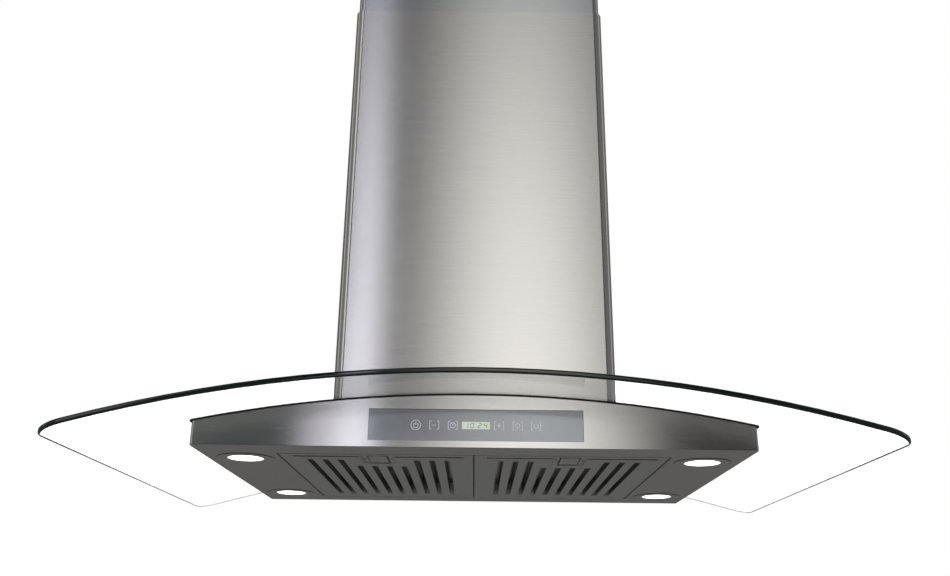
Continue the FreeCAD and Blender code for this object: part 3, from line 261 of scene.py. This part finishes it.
def brushed_steel(name, colour, roughness, anisotropy, streak):
    """Steel brushed along the width: short fine scratches, and highlights drawn out across them."""
    material, t, shader = new_material(name)
    place = t.place()
    normal = t.new("ShaderNodeNewGeometry").outputs["Normal"]
    lying = t.math("GREATER_THAN", t.math("ABSOLUTE", t.split(normal)[2]), LYING_FACE)

    def scratches(along, across):
        upright = t.vector("MULTIPLY", place, (along, along, across))
        flat = t.vector("MULTIPLY", place, (along, across, along))
        return t.noise(t.mix(lying, upright, flat), 1.0, 3.0, 0.65)

    fine = scratches(*FINE_SCRATCH)
    long = scratches(*LONG_SCRATCH)
    broad = t.noise(place, 4.0, 3.0, 0.6)
    grain = t.math("MULTIPLY_ADD", t.math("SUBTRACT", long, 0.5), 0.5, t.math("SUBTRACT", fine, 0.5))
    value = t.math("MULTIPLY_ADD", grain, streak * 3, 1.0)
    value = t.math("MULTIPLY_ADD", t.math("SUBTRACT", broad, 0.5), BROAD_SWING, value)
    t.feed(shader.inputs["Base Color"], t.vector("MULTIPLY", t.join(value, value, value), colour))
    shader.inputs["Metallic"].default_value = 1.0
    rough = t.math("MULTIPLY_ADD", grain, GRAIN_ROUGHNESS, roughness)
    rough = t.math("MULTIPLY_ADD", t.math("SUBTRACT", broad, 0.5), BROAD_SWING, rough)
    t.feed(shader.inputs["Roughness"], rough)
    shader.inputs["Anisotropic"].default_value = anisotropy
    t.feed(shader.inputs["Tangent"], t.join(0.0, lying, t.math("SUBTRACT", 1.0, lying)))
    t.feed(shader.inputs["Normal"], t.relief(grain, 0.06, 0.0002))
    return material


def mottled(name, colour, roughness, metallic, scale, amount, bump):
    """Plain finish with a fine mottle in colour, roughness and relief."""
    material, t, shader = new_material(name)
    grain = t.noise(t.place(), scale, 4.0, 0.6)
    light = tuple(min(1.0, c * (1 + amount)) for c in colour)
    dark = tuple(c * (1 - amount) for c in colour)
    t.feed(shader.inputs["Base Color"], t.mix(grain, (*dark, 1), (*light, 1)))
    shader.inputs["Metallic"].default_value = metallic
    t.feed(shader.inputs["Roughness"], t.ramp(grain, 0.2, 0.8, roughness - 0.05, roughness + 0.08))
    t.feed(shader.inputs["Normal"], t.relief(grain, bump, 0.0003))
    return material


def galvanised():
    """Zinc-coated sheet: flat spangles that differ in shade and gloss."""
    material, t, shader = new_material("galvanised_steel")
    cells = t.new("ShaderNodeTexVoronoi", feature="F1")
    cells.inputs["Scale"].default_value = 110.0
    t.feed(cells.inputs["Vector"], t.vector("MULTIPLY", t.place(), (1.05, 1.0, 1.0)))
    shade = t.split(cells.outputs["Color"])[0]
    t.feed(shader.inputs["Base Color"], t.mix(shade, (0.43, 0.45, 0.47, 1), (0.60, 0.62, 0.64, 1)))
    shader.inputs["Metallic"].default_value = 1.0
    t.feed(shader.inputs["Roughness"], t.ramp(shade, 0.0, 1.0, 0.34, 0.50))
    t.feed(shader.inputs["Normal"], t.relief(shade, 0.05, 0.0002))
    return material


def clear_glass():
    """Polished clear glass, very slightly wavy."""
    material, t, shader = new_material("clear_glass")
    wave = t.noise(t.place(), 6.0, 1.0, 0.4)
    t.feed(shader.inputs["Base Color"], t.mix(wave, (0.985, 0.998, 0.994, 1), (1.0, 1.0, 1.0, 1)))
    shader.inputs["Transmission Weight"].default_value = 1.0
    shader.inputs["IOR"].default_value = 1.5
    shader.inputs["Roughness"].default_value = 0.0
    t.feed(shader.inputs["Normal"], t.relief(wave, 0.02, 0.0005))
    return material


def glass_edge():
    """The glass seen through its edge: bottle green, its own tint, and nearly black, which is painted shade
    standing in for the dark surroundings seen through the edge.
    """
    material, t, shader = new_material("glass_edge")
    wave = t.noise(t.place(), 120.0, 2.0, 0.5)
    # the green is the glass's own tint; the near-black is painted shade for the dark surroundings seen
    # through the edge
    t.feed(shader.inputs["Base Color"], t.mix(wave, (0.003, 0.012, 0.010, 1), (0.008, 0.026, 0.021, 1)))
    t.feed(shader.inputs["Roughness"], t.ramp(wave, 0.2, 0.8, 0.03, 0.08))
    shader.inputs["IOR"].default_value = 1.65
    t.feed(shader.inputs["Normal"], t.relief(wave, 0.03, 0.0001))
    return material


def glowing(name, colour, strength, scale):
    """A lit surface with a fine unevenness."""
    material, t, shader = new_material(name)
    cells = t.noise(t.place(), scale, 2.0, 0.5)
    tint = t.mix(cells, (*[c * 0.94 for c in colour], 1), (*colour, 1))
    t.feed(shader.inputs["Base Color"], tint)
    t.feed(shader.inputs["Emission Color"], tint)
    shader.inputs["Emission Strength"].default_value = strength
    shader.inputs["Roughness"].default_value = 0.35
    return material


LENS_BRIGHT_R, LENS_RIM_R = 16 * MM, 22 * MM
LENS_GLOW, LENS_RIM_GLOW = 5.0, 0.9


def lamp_lens():
    """Opal lens, brightest over the LED board and bluish towards its rim."""
    material, t, shader = new_material("lamp_lens_opal")
    low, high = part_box("lamp_front_right_lens")
    middle = (low + high) / 2
    across = t.vector("SUBTRACT", t.vector("ABSOLUTE", t.place()), (middle.x, abs(middle.y), 0.0))
    from_middle = t.vector("LENGTH", t.vector("MULTIPLY", across, (1.0, 1.0, 0.0)))
    edge = t.ramp(from_middle, LENS_BRIGHT_R, LENS_RIM_R)
    frost = t.noise(t.place(), 400.0, 2.0, 0.5)
    tint = t.mix(edge, (1.0, 1.0, 1.0, 1), (0.86, 0.80, 1.0, 1))
    t.feed(shader.inputs["Base Color"], t.mix(frost, (0.93, 0.93, 0.94, 1), (1.0, 1.0, 1.0, 1)))
    t.feed(shader.inputs["Emission Color"], tint)
    t.feed(shader.inputs["Emission Strength"], t.ramp(edge, 0.0, 1.0, LENS_GLOW, LENS_RIM_GLOW))
    shader.inputs["Roughness"].default_value = 0.35
    return material


def panel_glass():
    """Silver-grey tinted glass, half mirror, with faint wiping marks."""
    material, t, shader = new_material("panel_glass")
    x, y, z = t.split(t.place())
    slanted = t.join(t.math("MULTIPLY_ADD", z, 0.7, x), y, z)
    haze = t.noise(slanted, 22.0, 3.0, 0.6)
    t.feed(shader.inputs["Base Color"], t.mix(haze, (0.235, 0.25, 0.272, 1), (0.275, 0.288, 0.31, 1)))
    shader.inputs["Metallic"].default_value = 0.75
    t.feed(shader.inputs["Roughness"], t.ramp(haze, 0.2, 0.8, 0.10, 0.18))
    shader.inputs["IOR"].default_value = 1.5
    shader.inputs["Coat Weight"].default_value = 0.6
    shader.inputs["Coat Roughness"].default_value = 0.04
    return material


# Colour, roughness, anisotropy and strength of the streaks.
STEELS = {
    "brushed_stainless": ((0.60, 0.59, 0.575), 0.17, 1.0, 0.065),
    # the upper chimney's copy of the same steel, darker and a little bluer: painted shade and a painted
    # cool reflection
    "upper_stainless": ((0.545, 0.558, 0.572), 0.17, 1.0, 0.065),
    "filter_steel": ((0.58, 0.58, 0.57), 0.30, 0.6, 0.03),
    "lamp_trim_steel": ((0.60, 0.60, 0.59), 0.24, 0.8, 0.03),
}

# Colour, roughness, metallic, then the mottle's scale, amount and relief.
MOTTLES = {
    "spring_steel": ((0.55, 0.55, 0.57), 0.25, 1.0, 300.0, 0.08, 0.03),
    "zinc_fastener": ((0.62, 0.62, 0.60), 0.28, 1.0, 200.0, 0.08, 0.03),
    "black_rubber": ((0.012, 0.012, 0.013), 0.7, 0.0, 200.0, 0.25, 0.1),
    "motor_paint": ((0.05, 0.055, 0.06), 0.45, 0.2, 90.0, 0.15, 0.1),
    "capacitor_shell": ((0.72, 0.72, 0.70), 0.4, 0.0, 80.0, 0.05, 0.1),
    "black_plastic": ((0.025, 0.025, 0.027), 0.5, 0.0, 250.0, 0.2, 0.2),
    "circuit_board": ((0.02, 0.12, 0.05), 0.35, 0.0, 120.0, 0.2, 0.1),
    "heat_sink": ((0.62, 0.62, 0.63), 0.5, 1.0, 150.0, 0.1, 0.1),
    # a dark steel for the bezels' turned edges: painted shade
    "shaded_edge": ((0.10, 0.10, 0.10), 0.45, 0.6, 200.0, 0.1, 0.03),
}

# Colour, strength of the light, and scale of its unevenness.
GLOWS = {
    "panel_print": ((0.80, 0.82, 0.88), 0.45, 200.0),
    "display_window": ((0.60, 0.66, 0.55), 0.75, 90.0),
    "display_digits": ((0.26, 0.33, 0.25), 0.25, 90.0),
}


def make_materials():
    """One material for each of the record's slots, and five more: upper_stainless, glass_edge,
    shaded_edge, panel_print and display_digits."""
    made = {
        "galvanised_steel": galvanised(),
        "clear_glass": clear_glass(),
        "glass_edge": glass_edge(),
        "panel_glass": panel_glass(),
        "lamp_lens_opal": lamp_lens(),
    }
    for make, table in ((brushed_steel, STEELS), (mottled, MOTTLES), (glowing, GLOWS)):
        for name, values in table.items():
            made[name] = make(name, *values)
    return made


GLASS_FACE = 0.96           # cosine to the bend's radius; a face of the pane below this is its rim, which gets the painted near-black edge
TRIM_FACE = 0.93            # |z| of the normal; a face of a bezel below this is its turned edge, which gets the painted shade


def dress_nodes(materials):
    """Each node gets its record slot's material; the upper chimney gets a copy of the same steel that is a
    little bluer and darker, as painted shade and a painted cool reflection.
    """
    for part in frame["record"]["subparts"]:
        mesh = NODES[part["node"]].data
        mesh.materials.clear()
        slot = part["material_slot"]
        # the upper chimney gets the darker, bluer copy of its steel: painted shade and a painted cool
        # reflection
        if part["node"] in ("upper_chimney_front", "upper_chimney_rear"):
            slot = "upper_stainless"
        mesh.materials.append(materials[slot])
        for face in mesh.polygons:
            face.material_index = 0


def dress_glass(materials):
    """The rounded rim of the canopy and of its hole is seen through the glass's thickness; it gets the
    glass's own green tint, painted nearly black as shade for the dark surroundings seen through it.
    """
    low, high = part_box("glass_canopy")
    half, sagitta = (high.x - low.x) / 2, high.z - GLASS_T - low.z
    axis_z = high.z - GLASS_T - (half ** 2 + sagitta ** 2) / (2 * sagitta)
    mesh = NODES["glass_canopy"].data
    mesh.materials.append(materials["glass_edge"])
    for face in mesh.polygons:
        outward = Vector((face.center.x, 0.0, face.center.z - axis_z)).normalized()
        if abs(face.normal.dot(outward)) < GLASS_FACE:
            face.material_index = 1


def dress_lamp_trims(materials):
    """The thin turned edge of each bezel gets a dark steel: painted shade for the shadow it sits in."""
    for part in frame["record"]["subparts"]:
        if part["material_slot"] == "lamp_trim_steel":
            mesh = NODES[part["node"]].data
            mesh.materials.append(materials["shaded_edge"])
            for face in mesh.polygons:
                if abs(face.normal.z) < TRIM_FACE:
                    face.material_index = 1


# ------------------------------------------------------------------ control panel

PANEL_LOW, PANEL_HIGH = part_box("control_glass")
PANEL_FACE = PANEL_LOW.y
KEYS_BELOW_MIDDLE = 0.3 * MM
KEY_Z = (PANEL_LOW.z + PANEL_HIGH.z) / 2 - KEYS_BELOW_MIDDLE
PRINT_MIDDLE = (PANEL_LOW.x + PANEL_HIGH.x) / 2
PRINT_T = 0.08 * MM         # how far the print stands out of the glass
PRINT_SUNK = 0.01 * MM      # and how far it reaches in

# The print's own measures are in mm from PRINT_MIDDLE and KEY_Z.
KEY_PITCH = 20.7
SYMBOL_LINE, DIGIT_LINE = 0.62, 0.75
WINDOW_HALF, WINDOW_HIGH = 15.6, 8.2
TIME_DIGITS = (("1", -10.6), ("0", -4.2), ("2", 4.2), ("4", 10.6))
COLON_LINES = [[(0.1, 1.2), (0.1, 1.9)], [(-0.1, -1.9), (-0.1, -1.2)]]
SHARPEST_MITRE = 0.5        # a line's corner is drawn out no more than 1 / this


def arc(cx, cz, radius, start, end, steps):
    """Points on an arc in the panel's plane; degrees from +x towards +z."""
    points = []
    for i in range(steps + 1):
        angle = math.radians(start + (end - start) * i / steps)
        points.append((cx + radius * math.cos(angle), cz + radius * math.sin(angle)))
    return points


def print_lines(name, lines, width, material, lift=0.0):
    """Raised printed lines on the panel: each line is a row of (x, z) points; one that ends
    where it starts is a closed ring."""
    mesh = bpy.data.meshes.new(name)
    bm = bmesh.new()
    front = PANEL_FACE - PRINT_T - lift
    back = PANEL_FACE - lift + PRINT_SUNK
    for points in lines:
        spots = [Vector((PRINT_MIDDLE + x * MM, z * MM)) for x, z in points]
        closed = (spots[0] - spots[-1]).length < 0.01 * MM
        sections = []
        for i, spot in enumerate(spots):
            before = spots[i - 1] if i > 0 else (spots[-2] if closed else None)
            after = spots[i + 1] if i + 1 < len(spots) else (spots[1] if closed else None)
            ways = [(b - a).normalized() for a, b in ((before, spot), (spot, after)) if a and b]
            way = sum(ways, Vector((0, 0)))
            way.normalize()
            side = Vector((-way.y, way.x))
            stretch = 1 / max(SHARPEST_MITRE, abs(way.dot(ways[0])))
            half = side * width * MM / 2 * stretch
            corners = [(spot + half, front), (spot - half, front), (spot - half, back), (spot + half, back)]
            sections.append([bm.verts.new((p.x, y, KEY_Z + p.y)) for p, y in corners])
        for a, b in zip(sections, sections[1:]):
            for i in range(4):
                bm.faces.new((a[i], a[(i + 1) % 4], b[(i + 1) % 4], b[i]))
        if not closed:
            bm.faces.new(sections[0])
            bm.faces.new(reversed(sections[-1]))
    bmesh.ops.remove_doubles(bm, verts=bm.verts, dist=0.001 * MM)
    bmesh.ops.recalc_face_normals(bm, faces=bm.faces)
    bm.to_mesh(mesh)
    bm.free()
    mesh.materials.append(material)
    piece = link(name, mesh)
    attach(piece, "hood")
    return piece


def brackets(x, half=5.1, high=4.5, lip=1.9):
    """The two square brackets round a key's symbol."""
    left = [(x - half + lip, high), (x - half, high), (x - half, -high), (x - half + lip, -high)]
    right = [(2 * x - px, pz) for px, pz in left]
    return [left, right]


def power_key(x):
    ring = arc(x, 0, 5.4, 0, 360, 40)
    switch = arc(x, -0.4, 2.7, -235, 55, 22)
    return [ring, switch, [(x, 0.2), (x, 3.3)]]


def minus_glyph(x):
    return [[(x - 2.0, 0), (x + 2.0, 0)]]


def clock_glyph(x):
    return [arc(x, 0, 2.9, 0, 360, 24), [(x, 1.9), (x, 0), (x + 1.3, -0.6)]]


def plus_glyph(x):
    return [[(x - 2.2, 0), (x + 2.2, 0)], [(x, -2.2), (x, 2.2)]]


def lamp_glyph(x):
    bulb = arc(x, 0.7, 2.3, -50, 230, 20)
    return [bulb, [(x - 1.1, -2.0), (x + 1.1, -2.0)], [(x - 0.7, -3.0), (x + 0.7, -3.0)]]


def timer_glyph(x):
    return [arc(x, -0.2, 2.5, 120, 420, 22), [(x, 3.6), (x, 2.9)]]


# Which of the seven strokes each digit lights: top, the two right, bottom, the two left, middle.
SEGMENTS = {"0": "abcdef", "1": "bc", "2": "abged", "4": "fgbc"}


def digit(text, x, wide=3.3, high=5.4, slant=0.10, gap=0.35):
    """The lit strokes of one digit, leaning by slant, with a gap at each stroke's ends."""
    w, h = wide / 2, high / 2
    ends = {
        "a": ((-w, h), (w, h)), "b": ((w, h), (w, 0)), "c": ((w, 0), (w, -h)),
        "d": ((w, -h), (-w, -h)), "e": ((-w, -h), (-w, 0)), "f": ((-w, 0), (-w, h)),
        "g": ((-w, 0), (w, 0)),
    }
    lines = []
    for key in SEGMENTS[text]:
        (ax, az), (bx, bz) = ends[key]
        a, b = Vector((ax, az)), Vector((bx, bz))
        step = (b - a).normalized() * gap
        a, b = a + step, b - step
        lines.append([(x + a.x + slant * a.y, a.y), (x + b.x + slant * b.y, b.y)])
    return lines


# Each key's place, in key pitches from the display's middle.
POWER_STEP = -3.25
GLYPH_STEPS = ((-2.25, minus_glyph), (-1.25, clock_glyph), (1.25, plus_glyph), (2.25, lamp_glyph),
               (3.25, timer_glyph))


def make_panel(materials):
    """The symbols round the display, its lit window, and the digits on the window."""
    keys = []
    for step, glyph in GLYPH_STEPS:
        x = step * KEY_PITCH
        keys += brackets(x)
        keys += glyph(x)
    power = power_key(POWER_STEP * KEY_PITCH)
    symbols = print_lines("panel_symbols", keys + power, SYMBOL_LINE, materials["panel_print"])

    middle_line = [(-WINDOW_HALF, 0), (WINDOW_HALF, 0)]
    window = print_lines("display_window", [middle_line], WINDOW_HIGH, materials["display_window"])
    figures = []
    for text, x in TIME_DIGITS:
        figures += digit(text, x)
    figures += COLON_LINES
    digits = print_lines("display_digits", figures, DIGIT_LINE, materials["display_digits"], PRINT_T)


# ------------------------------------------------------------------ scene

make_camera()
make_world()
make_floor()
materials = make_materials()
dress_nodes(materials)
dress_glass(materials)
dress_lamp_trims(materials)
make_panel(materials)
bpy.context.scene.view_settings.view_transform = "Standard"
